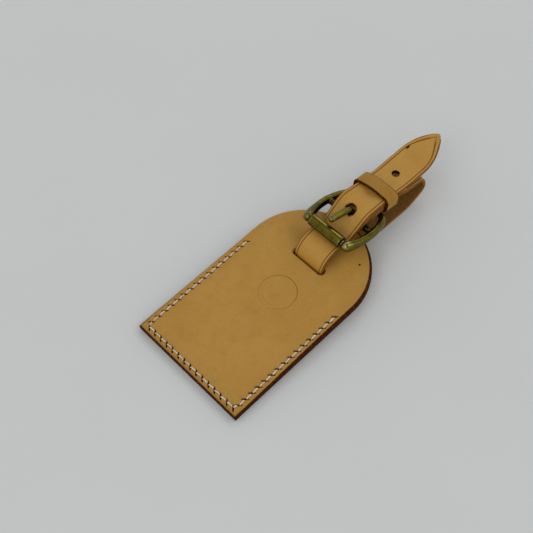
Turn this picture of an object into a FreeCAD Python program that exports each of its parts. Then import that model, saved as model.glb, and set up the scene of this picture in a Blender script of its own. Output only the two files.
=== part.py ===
"""Leather luggage tag with a buckled strap, lying on a level surface.

Two stitched leather panels hold an address card. A strap comes up through the slot in the
panels, passes under the roller of a centre-bar buckle and over its prong, and ends in a pointed
tip. Its other end runs back beneath the tag, makes the loop that goes round a bag's handle and
folds round the buckle's centre bar. A keeper holds the layers together.

Millimetres, +Z up. X runs along the tag towards the strap's tip and Y across it. Heights are
above the resting surface. Positions along X are written from the tag's bottom edge, and the
finished solids are moved so that the origin is under the middle of the whole object.
"""
import FreeCAD
import Part
import math
import os

V = FreeCAD.Vector
Y_AXIS = V(0, 1, 0)
Z_AXIS = V(0, 0, 1)

# The tag: straight sides and a half-round end, propped up by the strap beneath it
TAG_WIDTH = 65.0
TAG_STRAIGHT = 75.0
LAYER = 1.85
TAG_THICK = 2 * LAYER
TAG_TILT = 3.65
SLOT_MID = 78.9
SLOT_WIDE = 3.8
SLOT_LONG = 19.6
EMBLEM_MID = (56.9, -1.3)
EMBLEM_RADII = (9.13, 7.4)
EMBLEM_GROOVE = 0.45
EMBLEM_DEPTH = 0.15
POCKET_WIDE = 55.2
POCKET_START = 4.4
POCKET_DEPTH = 0.55
CARD_SIZE = (66.0, 54.0, 0.35)
CARD_START = 5.0

# Hand stitching
STITCH_PITCH = 4.05
THREAD_RADIUS = 0.42
THREAD_PROUD = 0.25
THREAD_SUNK = 0.30
SIDE_SEAM_Y = 29.43
SIDE_SEAM_START = 5.52
SIDE_STITCHES = 15
BOTTOM_SEAM_X = 2.86
BOTTOM_STITCHES = 14
FOLD_SEAM_X = 115.6
FOLD_STITCHES = 3

# The strap
STRAP_WIDE = 17.9
STRAP_THICK = 1.8
HALF_THICK = STRAP_THICK / 2
SLOT_RUN_X = 78.6
TIP_X = 171.0
TIP_LENGTH = 19.0
TIP_CUT_HEIGHTS = (19.0, 30.0)
FREE_HOLE_X = 138.1
FREE_HOLE_RADIUS = 2.0

# The buckle: a cast frame with a roller in front, a centre bar and a rounded rear side
BAR_X = 106.7
BAR_Z = 17.3
BAR_RADIUS = 1.6
BUCKLE_Y = 0.5
BUCKLE_PITCH = 11.4
ARM_RADIUS = 2.05
CORNER_RADIUS = 2.5
FRONT_REACH = 16.07
REAR_REACH = 12.3
FRONT_HALF_WIDE = 12.3
ARM_BULGE = 2.25
ARM_END = 8.5
ROLLER_RADIUS = 3.1
ROLLER_LONG = 19.4
ROLLER_SHIFT = 0.5
FRONT_BAR_RADIUS = 1.7
FIT = 0.08

# The prong
EYE_RADIUS = 3.3
EYE_WIDE = 3.2
PRONG_RADIUS = 1.55
PRONG_TIP_RADIUS = 1.75
PRONG_FOOT = V(BAR_X - 0.1, 0, BAR_Z + 2.0)
PRONG_SHOULDER = V(BAR_X - 1.0, 0, BAR_Z + 7.25)
PRONG_TIP = V(94.9, 1.5, 25.8)
PRONG_SLOT_HALF = 2.75
PRONG_SLOT_RADIUS = 3.6
PRONG_SLOT_END = 110.9
PRONG_HOLE_RADIUS = 2.7
PRONG_HOLE_SHIFT = 0.4

# The keeper
KEEPER_MID_X = 125.3
KEEPER_LONG = 8.0
KEEPER_WALL = 1.7
KEEPER_GAP = 0.12
KEEPER_SIDE_GAP = 0.25
KEEPER_CORNER = 2.6
KEEPER_STITCHES = 3
KEEPER_PITCH = 3.0

# The strap's middle line from its tip to its end: (x, z, radius of the bend there)
KEEPER_SLOPE = -0.122
TIP_AT_KEEPER = (KEEPER_MID_X, 22.56)
LAYER_STEP = STRAP_THICK + KEEPER_GAP
FOLD_RADIUS = BAR_RADIUS + FIT + HALF_THICK


def layer_height(x, steps):
    """Height of a layer's middle line where the keeper holds the layers parallel."""
    return TIP_AT_KEEPER[1] + KEEPER_SLOPE * (x - TIP_AT_KEEPER[0]) - steps * LAYER_STEP


ROUTE = [
    (TIP_X, 23.55, 0),
    (150.0, 21.55, 40),
    (134.0, layer_height(134.0, 0), 30),
    (108.6, layer_height(108.6, 0), 7),
    (96.6, 15.7, 5),
    (SLOT_RUN_X, 17.4, 9.6),
    (SLOT_RUN_X, HALF_THICK, 4),
    (140.5, HALF_THICK, 14),
    (152.3, 6.3, 4.6),
    (151.6, 14.4, 4),
    (138.5, 16.5, 10),
    (131.5, layer_height(131.5, 1), 8),
    (121.3, layer_height(121.3, 1), 20),
    (115.0, 21.4, 10),
    (BAR_X + 1.5, BAR_Z + FOLD_RADIUS, 6),
    (BAR_X - FOLD_RADIUS, BAR_Z + FOLD_RADIUS, FOLD_RADIUS),
    (BAR_X - FOLD_RADIUS, BAR_Z - FOLD_RADIUS, FOLD_RADIUS),
    (BAR_X + 1.9, BAR_Z - FOLD_RADIUS, 2),
    (114.6, 19.35, 2),
    (121.3, layer_height(121.3, 2), 20),
    (130.5, layer_height(130.5, 2), 0),
]

# The whole length runs from the lifted top edge of the tag to the strap's tip
TAG_LEAN = TAG_THICK * math.sin(math.radians(TAG_TILT))
MIDDLE_X = (TIP_X - TAG_LEAN) / 2


def block(x0, x1, y0, y1, z0, z1):
    """A box between two corners."""
    return Part.makeBox(x1 - x0, y1 - y0, z1 - z0, V(x0, y0, z0))


def rod(start, end, radius, end_radius=None):
    """A round bar between two points, tapered when the end radius differs."""
    axis = end - start
    if end_radius is None or end_radius == radius:
        return Part.makeCylinder(radius, axis.Length, start, axis)
    return Part.makeCone(radius, end_radius, axis.Length, start, axis)


def ball(centre, radius):
    return Part.makeSphere(radius, centre)


def bar_ball(centre, radius):
    """A ball with its poles along Y and its seam at the front, clear of the bars that meet it."""
    shape = Part.makeSphere(radius, centre, Y_AXIS)
    shape.rotate(centre, Y_AXIS, 180)
    return shape


def capsule(start, end, radius):
    """A round bar with half-round ends."""
    return rod(start, end, radius).multiFuse([ball(start, radius), ball(end, radius)])


def bent_rod(centre, bend_radius, start_deg, sweep_deg, radius):
    """A round bar along an arc in a level plane."""
    spoke = V(math.cos(math.radians(start_deg)), math.sin(math.radians(start_deg)), 0)
    along = V(-spoke.y, spoke.x, 0)
    circle = Part.Circle(centre + spoke * bend_radius, along, radius)
    face = Part.Face(Part.Wire([circle.toShape()]))
    return face.revolve(centre, Z_AXIS, sweep_deg)


def to_row(shape):
    """Moves a finished shape so that the origin is under the object's middle."""
    moved = shape.copy()
    moved.translate(V(-MIDDLE_X, 0, 0))
    return moved


def tilt_tag(shape):
    """Props a shape that was made flat up with the tag, about the tag's bottom edge."""
    tilted = shape.copy()
    tilted.rotate(V(0, 0, 0), Y_AXIS, -TAG_TILT)
    return tilted


# ---- the tag -----------------------------------------------------------------------------

def panel_blank(z0, z1):
    """The tag's outline as a slab: three straight sides and a half-round end."""
    half = TAG_WIDTH / 2
    corners = [V(TAG_STRAIGHT, -half, z0), V(0, -half, z0), V(0, half, z0), V(TAG_STRAIGHT, half, z0)]
    sides = [Part.LineSegment(corners[i], corners[i + 1]).toShape() for i in range(3)]
    far_end = V(TAG_STRAIGHT + half, 0, z0)
    arch = Part.Arc(corners[3], far_end, corners[0]).toShape()
    return Part.Face(Part.Wire(sides + [arch])).extrude(V(0, 0, z1 - z0))


def slot_cutter():
    """The rounded slot that the strap passes through."""
    end_radius = SLOT_WIDE / 2
    reach = SLOT_LONG / 2 - end_radius
    low = -1.0
    high = TAG_THICK + 2.0
    middle = block(SLOT_MID - end_radius, SLOT_MID + end_radius, -reach, reach, low, high)
    ends = [Part.makeCylinder(end_radius, high - low, V(SLOT_MID, side * reach, low)) for side in (-1, 1)]
    return middle.multiFuse(ends)


def emblem_groove(radius):
    """One shallow pressed ring."""
    centre = V(EMBLEM_MID[0], EMBLEM_MID[1], TAG_THICK - EMBLEM_DEPTH)
    outer = Part.makeCylinder(radius + EMBLEM_GROOVE / 2, 1.0, centre)
    inner = Part.makeCylinder(radius - EMBLEM_GROOVE / 2, 1.0, centre)
    return outer.cut(inner)


def make_front_panel():
    panel = panel_blank(LAYER, TAG_THICK).cut(slot_cutter())
    for radius in EMBLEM_RADII:
        panel = panel.cut(emblem_groove(radius))
    return tilt_tag(panel)


def make_rear_panel():
    """The back layer, with the shallow pocket that is open at the half-round end."""
    beyond = TAG_STRAIGHT + TAG_WIDTH
    half = POCKET_WIDE / 2
    pocket = block(POCKET_START, beyond, -half, half, LAYER - POCKET_DEPTH, TAG_THICK)
    return tilt_tag(panel_blank(0, LAYER).cut(slot_cutter()).cut(pocket))


def make_address_card():
    long, wide, thick = CARD_SIZE
    base = LAYER - POCKET_DEPTH + (POCKET_DEPTH - thick) / 2
    return tilt_tag(block(CARD_START, CARD_START + long, -wide / 2, wide / 2, base, base + thick))


def stitch(length, low, high):
    """One stitch seen on both faces, with the leg that joins the two at its first hole."""
    reach = length - 2 * THREAD_RADIUS - 0.1
    top = capsule(V(0, 0, high), V(reach, 0, high), THREAD_RADIUS)
    bottom = capsule(V(0, 0, low), V(reach, 0, low), THREAD_RADIUS)
    leg = rod(V(0, 0, low), V(0, 0, high), THREAD_RADIUS)
    return top.multiFuse([bottom, leg])


def seam(pattern, x, y, angle, count, pitch):
    """A row of equal stitches from one hole, in one direction."""
    row = []
    step = V(math.cos(math.radians(angle)), math.sin(math.radians(angle)), 0)
    for i in range(count):
        one = pattern.copy()
        one.rotate(V(0, 0, 0), Z_AXIS, angle)
        one.translate(V(x, y, 0) + step * (pitch * i))
        row.append(one)
    return row


def make_seam_thread():
    """The seam along both sides and the bottom, a group of separate stitches."""
    low = THREAD_SUNK
    high = TAG_THICK + THREAD_PROUD - THREAD_RADIUS / 2
    regular = stitch(STITCH_PITCH, low, high)
    corner_y = BOTTOM_STITCHES * STITCH_PITCH / 2
    corner_run = math.hypot(SIDE_SEAM_START - BOTTOM_SEAM_X, SIDE_SEAM_Y - corner_y)
    corner_turn = math.degrees(math.atan2(SIDE_SEAM_Y - corner_y, SIDE_SEAM_START - BOTTOM_SEAM_X))
    corner_stitch = stitch(corner_run, low, high)
    stitches = seam(regular, BOTTOM_SEAM_X, corner_y, -90, BOTTOM_STITCHES, STITCH_PITCH)
    for side in (-1, 1):
        stitches += seam(regular, SIDE_SEAM_START, side * SIDE_SEAM_Y, 0, SIDE_STITCHES, STITCH_PITCH)
    far_x = SIDE_SEAM_START
    stitches += seam(corner_stitch, far_x, SIDE_SEAM_Y, 180 + corner_turn, 1, 0)
    stitches += seam(corner_stitch, BOTTOM_SEAM_X, -corner_y, -corner_turn, 1, 0)
    return tilt_tag(Part.Compound(stitches))


# ---- the strap -----------------------------------------------------------------------------

def ribbon_face(route, half):
    """A strip of constant thickness in the XZ plane: straight runs joined by tangent arcs."""
    points = [V(x, 0, z) for x, z, _ in route]
    legs = []
    for i in range(len(points) - 1):
        legs.append((points[i + 1] - points[i]).normalize())
    left = []
    right = []
    last = points[0]
    for i in range(1, len(points)):
        run = legs[i - 1]
        side = V(-run.z, 0, run.x)
        if i == len(points) - 1:
            add_run(left, right, last, points[i], side * half)
            break
        following = legs[i]
        turn = run.getAngle(following)
        cut_back = route[i][2] * math.tan(turn / 2)
        start = points[i] - run * cut_back
        end = points[i] + following * cut_back
        if (start - last).dot(run) > 1e-3:
            add_run(left, right, last, start, side * half)
        bend_left = run.cross(following).y < 0
        toward = side if bend_left else side * -1
        centre = start + toward * route[i][2]
        middle_way = ((start - centre) + (end - centre)).normalize()
        for edges, sign in ((left, 1), (right, -1)):
            offset = half * sign * (-1 if bend_left else 1)
            radius = route[i][2] + offset
            arc_points = [centre + (start - centre).normalize() * radius]
            arc_points.append(centre + middle_way * radius)
            arc_points.append(centre + (end - centre).normalize() * radius)
            edges.append(Part.Arc(*arc_points).toShape())
        last = end
    first_cap = Part.LineSegment(right[0].Vertexes[0].Point, left[0].Vertexes[0].Point).toShape()
    end_cap = Part.LineSegment(left[-1].Vertexes[-1].Point, right[-1].Vertexes[-1].Point).toShape()
    edges = Part.sortEdges([first_cap] + left + [end_cap] + right)[0]
    return Part.Face(Part.Wire(edges))


def add_run(left, right, start, end, offset):
    """Adds one straight run to both sides of a ribbon."""
    left.append(Part.LineSegment(start + offset, end + offset).toShape())
    right.append(Part.LineSegment(start - offset, end - offset).toShape())


def tip_cutter():
    """What is trimmed off to leave a lancet-shaped tip: the outside of two arcs."""
    half = STRAP_WIDE / 2
    start = TIP_X - TIP_LENGTH
    radius = (TIP_LENGTH ** 2 + half ** 2) / (2 * half)
    low, high = TIP_CUT_HEIGHTS
    lens = None
    for side in (-1, 1):
        disc = Part.makeCylinder(radius, high - low, V(start, side * (half - radius), low))
        lens = disc if lens is None else lens.common(disc)
    slab = block(start, TIP_X + 5, -STRAP_WIDE, STRAP_WIDE, low, high)
    return slab.cut(lens)


def prong_hole(radius, low, high):
    """A hole along the prong's upright part, set a little behind it."""
    way = (PRONG_SHOULDER - PRONG_FOOT).normalize()
    shift = V(PRONG_HOLE_SHIFT, 0, 0)
    start = PRONG_FOOT + way * ((low - PRONG_FOOT.z) / way.z) + shift
    end = PRONG_FOOT + way * ((high - PRONG_FOOT.z) / way.z) + shift
    return rod(start, end, radius)


def make_strap():
    half = STRAP_WIDE / 2
    face = ribbon_face(ROUTE, HALF_THICK)
    face.translate(V(0, -half, 0))
    strap = face.extrude(V(0, STRAP_WIDE, 0))
    room_start = V(BAR_X, -PRONG_SLOT_HALF, BAR_Z)
    eye_room = Part.makeCylinder(PRONG_SLOT_RADIUS, 2 * PRONG_SLOT_HALF, room_start, Y_AXIS)
    slot = block(BAR_X, PRONG_SLOT_END, -PRONG_SLOT_HALF, PRONG_SLOT_HALF, BAR_Z - 4.5, BAR_Z + 3.9)
    free_hole = Part.makeCylinder(FREE_HOLE_RADIUS, 5.0, V(FREE_HOLE_X, 0, 20.0))
    hole = prong_hole(PRONG_HOLE_RADIUS, 18.4, 28.0)
    return strap.cut(eye_room.multiFuse([slot, hole])).cut(free_hole).cut(tip_cutter())


def make_strap_fold_thread():
    """The short row of stitches that closes the fold behind the centre bar."""
    low = 19.35 - HALF_THICK
    high = 21.35 + HALF_THICK
    pattern = stitch(STITCH_PITCH, low + 0.1, high - 0.1)
    reach = FOLD_STITCHES * STITCH_PITCH / 2
    return Part.Compound(seam(pattern, FOLD_SEAM_X, -reach, 90, FOLD_STITCHES, STITCH_PITCH))


# ---- the buckle ----------------------------------------------------------------------------

def place_buckle(shape):
    """Puts a shape made about the centre bar, level, into its place."""
    placed = shape.copy()
    placed.rotate(V(0, 0, 0), Y_AXIS, BUCKLE_PITCH)
    placed.translate(V(BAR_X, BUCKLE_Y, BAR_Z))
    return placed


def make_buckle_frame():
    """Two bowed arms, a rounded rear side, the centre bar and the thinner front bar."""
    chord = FRONT_REACH + ARM_END
    bow = ((chord / 2) ** 2 + ARM_BULGE ** 2) / (2 * ARM_BULGE)
    arm_mid_x = (ARM_END - FRONT_REACH) / 2
    arm_mid_y = FRONT_HALF_WIDE + ARM_BULGE - bow
    half_angle = math.degrees(math.asin(chord / 2 / bow))
    lean = math.radians(90 - half_angle)
    corner = (REAR_REACH - ARM_END) / (1 - math.cos(lean))
    corner_x = ARM_END - corner * math.cos(lean)
    corner_y = FRONT_HALF_WIDE - corner * math.sin(lean)
    bar_half = arm_mid_y + math.sqrt(bow ** 2 - arm_mid_x ** 2)
    pieces = [rod(V(REAR_REACH, -corner_y, 0), V(REAR_REACH, corner_y, 0), ARM_RADIUS)]
    pieces.append(rod(V(0, -bar_half, 0), V(0, bar_half, 0), BAR_RADIUS))
    front = V(-FRONT_REACH, FRONT_HALF_WIDE, 0)
    pieces.append(rod(V(front.x, -front.y, 0), front, FRONT_BAR_RADIUS))
    for side in (-1, 1):
        arm_centre = V(arm_mid_x, side * arm_mid_y, 0)
        corner_centre = V(corner_x, side * corner_y, 0)
        arm_start = 90 * side - half_angle
        corner_start = 0 if side > 0 else -(90 - half_angle)
        pieces.append(bent_rod(arm_centre, bow, arm_start, 2 * half_angle, ARM_RADIUS))
        pieces.append(bent_rod(corner_centre, corner, corner_start, 90 - half_angle, ARM_RADIUS))
        pieces.append(bar_ball(V(front.x, side * front.y, 0), CORNER_RADIUS))
    return place_buckle(pieces[0].multiFuse(pieces[1:]))


def make_buckle_roller():
    """A tube that turns on the front bar."""
    start = V(-FRONT_REACH, ROLLER_SHIFT - ROLLER_LONG / 2, 0)
    end = V(-FRONT_REACH, ROLLER_SHIFT + ROLLER_LONG / 2, 0)
    tube = rod(start, end, ROLLER_RADIUS)
    rims = [edge for edge in tube.Edges if edge.Closed]
    tube = tube.makeFillet(0.4, rims)
    return place_buckle(tube.cut(rod(start, end, FRONT_BAR_RADIUS + FIT)))


def make_buckle_prong():
    """An eye round the centre bar, an upright part, a shoulder and a blunt round tip."""
    eye_start = V(BAR_X, -EYE_WIDE / 2, BAR_Z)
    eye = Part.makeCylinder(EYE_RADIUS, EYE_WIDE, eye_start, Y_AXIS)
    upright = rod(PRONG_FOOT, PRONG_SHOULDER, PRONG_RADIUS)
    shank = rod(PRONG_SHOULDER, PRONG_TIP, PRONG_RADIUS, PRONG_TIP_RADIUS)
    shoulder = ball(PRONG_SHOULDER, PRONG_RADIUS)
    tip = ball(PRONG_TIP, PRONG_TIP_RADIUS)
    bore = Part.makeCylinder(BAR_RADIUS + FIT, 3 * EYE_WIDE, eye_start - Y_AXIS * EYE_WIDE, Y_AXIS)
    return eye.multiFuse([upright, shank, shoulder, tip]).cut(bore)


# ---- the keeper ----------------------------------------------------------------------------

def rounded_slab(length, half_wide, low, high, corner):
    """A bar along X with rounded long edges."""
    bar = block(-length / 2, length / 2, -half_wide, half_wide, low, high)
    long_edges = []
    for edge in bar.Edges:
        span = edge.Vertexes[1].Point - edge.Vertexes[0].Point
        if abs(span.x) > length / 2:
            long_edges.append(edge)
    return bar.makeFillet(corner, long_edges)


def keeper_limits():
    """The inner heights of the keeper, from the middle line of the strap's top layer."""
    high = HALF_THICK + KEEPER_GAP
    low = -2 * LAYER_STEP - HALF_THICK - KEEPER_GAP
    return low, high


def place_keeper(shape):
    """Puts a shape made at the strap's top layer, level, into its place on the strap."""
    placed = shape.copy()
    placed.rotate(V(0, 0, 0), Y_AXIS, -math.degrees(math.atan(KEEPER_SLOPE)))
    placed.translate(V(TIP_AT_KEEPER[0], 0, TIP_AT_KEEPER[1]))
    return placed


def make_keeper_loop():
    low, high = keeper_limits()
    half = STRAP_WIDE / 2 + KEEPER_SIDE_GAP
    outer_half = half + KEEPER_WALL
    outer = rounded_slab(KEEPER_LONG, outer_half, low - KEEPER_WALL, high + KEEPER_WALL, KEEPER_CORNER)
    inner_corner = KEEPER_CORNER - KEEPER_WALL
    inner = rounded_slab(3 * KEEPER_LONG, half, low, high, inner_corner * 0.2)
    return place_keeper(outer.cut(inner))


def make_keeper_thread():
    """The stitches that join the ends of the keeper beneath the strap."""
    low, _ = keeper_limits()
    base = low - KEEPER_WALL + 0.15
    reach = (KEEPER_STITCHES - 1) * KEEPER_PITCH / 2
    stitches = []
    for i in range(KEEPER_STITCHES):
        x = i * KEEPER_PITCH - reach
        stitches.append(capsule(V(x, -1.4, base), V(x, 1.4, base), 0.4))
    return place_keeper(Part.Compound(stitches))


MAKERS = {
    "front_panel": make_front_panel,
    "rear_panel": make_rear_panel,
    "address_card": make_address_card,
    "seam_thread": make_seam_thread,
    "strap": make_strap,
    "strap_fold_thread": make_strap_fold_thread,
    "keeper_loop": make_keeper_loop,
    "keeper_thread": make_keeper_thread,
    "buckle_frame": make_buckle_frame,
    "buckle_roller": make_buckle_roller,
    "buckle_prong": make_buckle_prong,
}

os.makedirs("parts", exist_ok=True)
for node, maker in MAKERS.items():
    shape = to_row(maker())
    box = shape.BoundBox
    shape.exportStep("parts/" + node + ".step")
    print(node, len(shape.Solids), "solid(s)", shape.isValid(), round(shape.Volume, 1),
          [round(n, 2) for n in (box.XMin, box.XMax, box.YMin, box.YMax, box.ZMin, box.ZMax)])
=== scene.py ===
"""Looks of the leather luggage tag, built around its CAD frame.

Lengths in the script are millimetres from the tag's bottom edge along X, from the middle along Y
and from the resting surface along Z. to_row() turns them into the row frame's metres.
"""
import math

import bpy
import numpy as np
from mathutils import Matrix, Vector


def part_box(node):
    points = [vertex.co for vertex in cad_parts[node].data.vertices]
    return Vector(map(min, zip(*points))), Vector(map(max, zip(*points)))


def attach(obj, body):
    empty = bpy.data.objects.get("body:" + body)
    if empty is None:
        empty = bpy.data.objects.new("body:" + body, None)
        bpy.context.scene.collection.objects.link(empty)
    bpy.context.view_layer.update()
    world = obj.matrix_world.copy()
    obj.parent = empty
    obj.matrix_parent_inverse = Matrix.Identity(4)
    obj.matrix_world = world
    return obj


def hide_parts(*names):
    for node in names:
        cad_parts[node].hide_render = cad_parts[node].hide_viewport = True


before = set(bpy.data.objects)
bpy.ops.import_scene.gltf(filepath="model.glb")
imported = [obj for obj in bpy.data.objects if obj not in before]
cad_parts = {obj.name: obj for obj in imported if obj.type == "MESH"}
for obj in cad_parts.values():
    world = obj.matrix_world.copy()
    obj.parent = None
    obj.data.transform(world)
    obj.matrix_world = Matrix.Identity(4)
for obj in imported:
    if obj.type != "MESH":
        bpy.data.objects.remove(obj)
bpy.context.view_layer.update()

MM = 0.001
SEED = 7
TIP_X = 171.0
EDGE_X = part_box("strap")[1].x / MM - TIP_X
ORIGIN = np.array([EDGE_X, 0.0, 0.0])
RNG = np.random.default_rng(SEED)

# The tag
HALF_WIDE = 32.5
STRAIGHT = 75.0
LAYER = 1.85
TAG_THICK = 2 * LAYER
TAG_TILT = math.radians(3.65)
GRID_SCALE = 1.0
ARCH_STEP = 0.3
EDGE_ROUND = 0.7
EDGE_STEPS = 5
SLOT_MID = 78.9
SLOT_WIDE = 3.8
SLOT_LONG = 19.6
POCKET_DEPTH = 0.55
SLOT_RIM = 0.6
SLOT_RIM_DROP = 0.3
CUT_MARGIN = 2.0
PARTING = 0.16
SWELL = 0.06
RIPPLE = 0.04
INK_REACH = 0.8
INK_UNEVEN = 0.7
INK_FADE = 0.45
SOIL_REACH = 9.0
# A darker patch on the tag beside the strap's foot.
DARK_PATCH = (88.0, 14.0)
DARK_PATCH_REACH = 9.0
EMBLEM_MID = (56.9, -1.3)
EMBLEM_RADIUS = 9.13
EMBLEM_INNER = 7.5
EMBLEM_DEEP = 0.2
EMBLEM_LINE = 0.5
PINHOLE = (94.2, -18.5)
PINHOLE_DEEP = 0.6
PINHOLE_REACH = 0.8

# The seam
PITCH = 4.05
SIDE_SEAM_Y = 29.43
SIDE_SEAM_START = 5.52
SIDE_STITCHES = 15
BOTTOM_SEAM_X = 2.86
BOTTOM_STITCHES = 14
SLIT_LONG = 3.2
SLIT_WIDE = 0.70
SLIT_BACK = 0.3
SLIT_DEEP = 1.0
SLIT_SHARP = 3.0
SLIT_RIM = 1.28
SEAM_DIP = 0.14
SEAM_DIP_REACH = 0.9
THREAD_PLY = 0.20
THREAD_TWIST = 1.7
THREAD_OFFSET = 0.22
THREAD_SHORT = 0.5
PLY_SIDES = 8
DIVE = 0.85
DIVE_DEEP = 0.95

# Where the stitches lie on the front and the rear face: height, facing and rise.
SEAM_FACES = ((TAG_THICK, 1.0, 0.20), (0.22, -1.0, -0.08))
FOLD_SEAM_X = 116.2

# The address card
CARD_START = 5.0
CARD_LONG = 66.0
CARD_WIDE = 54.0
CARD_THICK = 0.35
CARD_CORNER = 3.0
CARD_ROUND = 0.06

# The strap
STRAP_WIDE = 17.9
STRAP_THICK = 1.8
CHAPE_THICK = 1.3
CREASE_IN = 1.6
CREASE_DEEP = 0.16
CREASE_WIDE = 0.42
CREASE_INK_WIDE = CREASE_WIDE + 0.14
CREASE_DARK = 0.72
BORDER = 2.52
EDGE_TURN = 65
DISH = 0.6
DISH_X = 120.0
DISH_REACH = 5.0
WAVE = 0.05
TIP_RUN = 78.0
TIP_LENGTH = 21.0
TIP_CUT = 1.3
TIP_ROUND = 1.5
TIP_CLOSING = 4.6
TIP_WIDEN = 0.6
TIP_WIDEN_X = (154, 165)
TIP_LEAN = 0.45
TIP_LEAN_X = 150.0
TIP_LEAN_LONG = 14.0
TIP_LIFT = 0.3
TIP_LIFT_X = (138, 150)
ROLL_MAX = math.radians(8.5)
ROLL_MID = 108.5
ROLL_REACH = 13.0
TIP_ROLL = math.radians(3.5)
TIP_ROLL_X = (130, 142)
LOOP_ROLL = math.radians(9)
LOOP_ROLL_X = (131, 138)
LOOP_ROLL_Z = (8, 14)
FREE_HOLE_X = 138.1
FREE_HOLE_RADIUS = 1.95
PRONG_HOLE_RADIUS = 2.62
NICK = (154.2, 6.45)
NICK_REACH = 0.62
NICK_STRETCH = 2.1
EYE_ROOM_END = 110.7
EYE_ROOM_WIDE = 5.2
EYE_ROOM_BELOW = 4.4
EYE_ROOM_ABOVE = 3.75
PRONG_CUT = (-0.6, 9.0)
FREE_CUT = (20.2, 26.0)

# The buckle
BAR_X = 106.7
BAR_Z = 17.3
BAR_RADIUS = 1.6
BAR_HALF_LONG = 14.2
BUCKLE_Y = 0.5
BUCKLE_PITCH = math.radians(11.4)
FRONT_REACH = 16.07
REAR_REACH = 12.3
FRONT_HALF_WIDE = 12.3
ARM_BULGE = 2.25
ARM_END = 8.5
ARM_RADIUS = 2.05
FRONT_STOUTER = 0.55
REAR_THINNER = 0.15
CORNER_RADIUS = 2.6
FRONT_BAR_RADIUS = 1.7
ROLLER_RADIUS = 3.1
ROLLER_BORE = 1.78
ROLLER_LONG = 19.4
ROLLER_SHIFT = 0.5
ROLLER_SIDES = 72
ROLLER_SEAM_DEEP = 0.22
ROLLER_SEAM_WIDE = 0.35
PRONG_RADIUS = 1.55
PRONG_TIP_RADIUS = 1.75
PRONG_WORN_X = 94.0
EYE_RADIUS = 3.3
EYE_WIRE = 0.78
EYE_SPREAD = 0.75
PRONG_LINE = [(106.6, 0.0, 19.3), (105.75, 0.0, 24.4), (94.9, 1.5, 25.8)]

# The keeper
KEEPER_MID = (125.3, 22.56)
KEEPER_SLOPE = -0.122
KEEPER_LONG = 8.2
KEEPER_WALL = 1.6
KEEPER_GAP = 0.12
KEEPER_CORNER = 2.3
KEEPER_CROWN = 0.85
KEEPER_STITCH = 3.0
KEEPER_PITCH = 2.6
KEEPER_SHIFT = -1.1
KEEPER_YAW = 0.045
KEEPER_SIDE = 0.2
LAYER_STEP = STRAP_THICK + KEEPER_GAP

# The light and the view
ROOM_LOW = 0.93
ROOM_HIGH = 0.28
# Each light is a square: its name, its place and its side in metres, its watts and its colour.
# The window is on the left, the lamp beyond the tip, the wall on the right and the front light
# near the viewer.
LIGHTS = [("window", (-0.9, 1.3, 3.3), 2.6, 8.0, (1.0, 0.99, 0.97)),
          ("lamp", (2.1, 1.1, 2.1), 0.6, 5.0, (1.0, 0.97, 0.93)),
          ("wall", (1.7, -1.7, 2.6), 1.6, 12.0, (1.0, 0.99, 0.97)),
          ("front", (-2.3, -0.4, 2.3), 1.8, 14.0, (1.0, 0.98, 0.95))]
ROOM_COLOUR = (0.96, 0.985, 1.0, 1.0)
# The floor's reach and its drop beneath the object are in metres too.
FLOOR_REACH = 3.0
FLOOR_DROP = 0.00002
VIEW_AZIMUTH = -42.88
VIEW_ELEVATION = 57.1
VIEW_ROLL = -1.4
VIEW_TARGET = (65.9, 16.1, 0.0)
VIEW_DISTANCE = 459.2
LENS = 64.0
SENSOR = 36.0

# Colours. The leather's tones go from light to dark.
TAG_TONES = ((0.54, 0.285, 0.050), (0.50, 0.255, 0.040), (0.42, 0.20, 0.026))
STRAP_TONES = ((0.56, 0.295, 0.050), (0.52, 0.265, 0.038), (0.43, 0.205, 0.025))
KEEPER_TONES = ((0.41, 0.20, 0.009), (0.37, 0.168, 0.005), (0.28, 0.115, 0.003))
OLIVE_TINT = (0.47, 0.27, 0.030)
DARK_EDGE = (0.055, 0.009, 0.001)
TAN_EDGE = (0.30, 0.12, 0.022)
FLESH_COLOUR = (0.15, 0.070, 0.016)
CREASE_INK = (0.105, 0.030, 0.003)
# The darkest groove colour is painted shade in the awl slits, the pinhole and the strap's holes.
HOLE_SHADE = (0.010, 0.003, 0.001)
LINEN = (0.84, 0.80, 0.72)
LINEN_SOILED = (0.62, 0.55, 0.44)
LINEN_FIBRE = (0.50, 0.44, 0.34)
# The thread's colour deep in its holes is painted shade.
LINEN_HOLE_SHADE = (0.030, 0.012, 0.003)
BRASS = (0.150, 0.118, 0.005)
BRASS_TARNISHED = (0.085, 0.071, 0.003)
BRASS_SPECK = (0.040, 0.032, 0.004)
# The rubbed colour also serves as a painted highlight on the front corners.
BRASS_RUBBED_HIGHLIGHT = (0.52, 0.44, 0.20)
# This dark colour is painted shade inside the frame, on the centre bar and at the roller's ends.
BRASS_SHADE = (0.020, 0.014, 0.001)
CARD_COLOUR = (0.80, 0.78, 0.71)
CARD_FIBRE = (0.72, 0.69, 0.61)
FLOOR_COLOUR = (0.742, 0.755, 0.748)


# ---- shared helpers ----

def to_row(points):
    """Millimetres from the tag's bottom edge, as metres in the row frame."""
    return (np.asarray(points, float) + ORIGIN) * MM


def tilt(points):
    """Props points made on the flat tag up to where the tag lies."""
    p = np.array(points, float)
    x = p[:, 0] * math.cos(TAG_TILT) - p[:, 2] * math.sin(TAG_TILT)
    z = p[:, 0] * math.sin(TAG_TILT) + p[:, 2] * math.cos(TAG_TILT)
    return np.column_stack([x, p[:, 1], z])


def smooth_bump(distance, reach):
    """1 at distance 0, falling smoothly to 0 at the reach and beyond."""
    t = np.clip(np.abs(distance) / reach, 0, 1)
    return 0.5 + 0.5 * np.cos(np.pi * t)


def ease(value, low, high):
    """0 up to low and 1 from high on, with a smooth rise between."""
    t = np.clip((value - low) / (high - low), 0, 1)
    return t * t * (3 - 2 * t)


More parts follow.
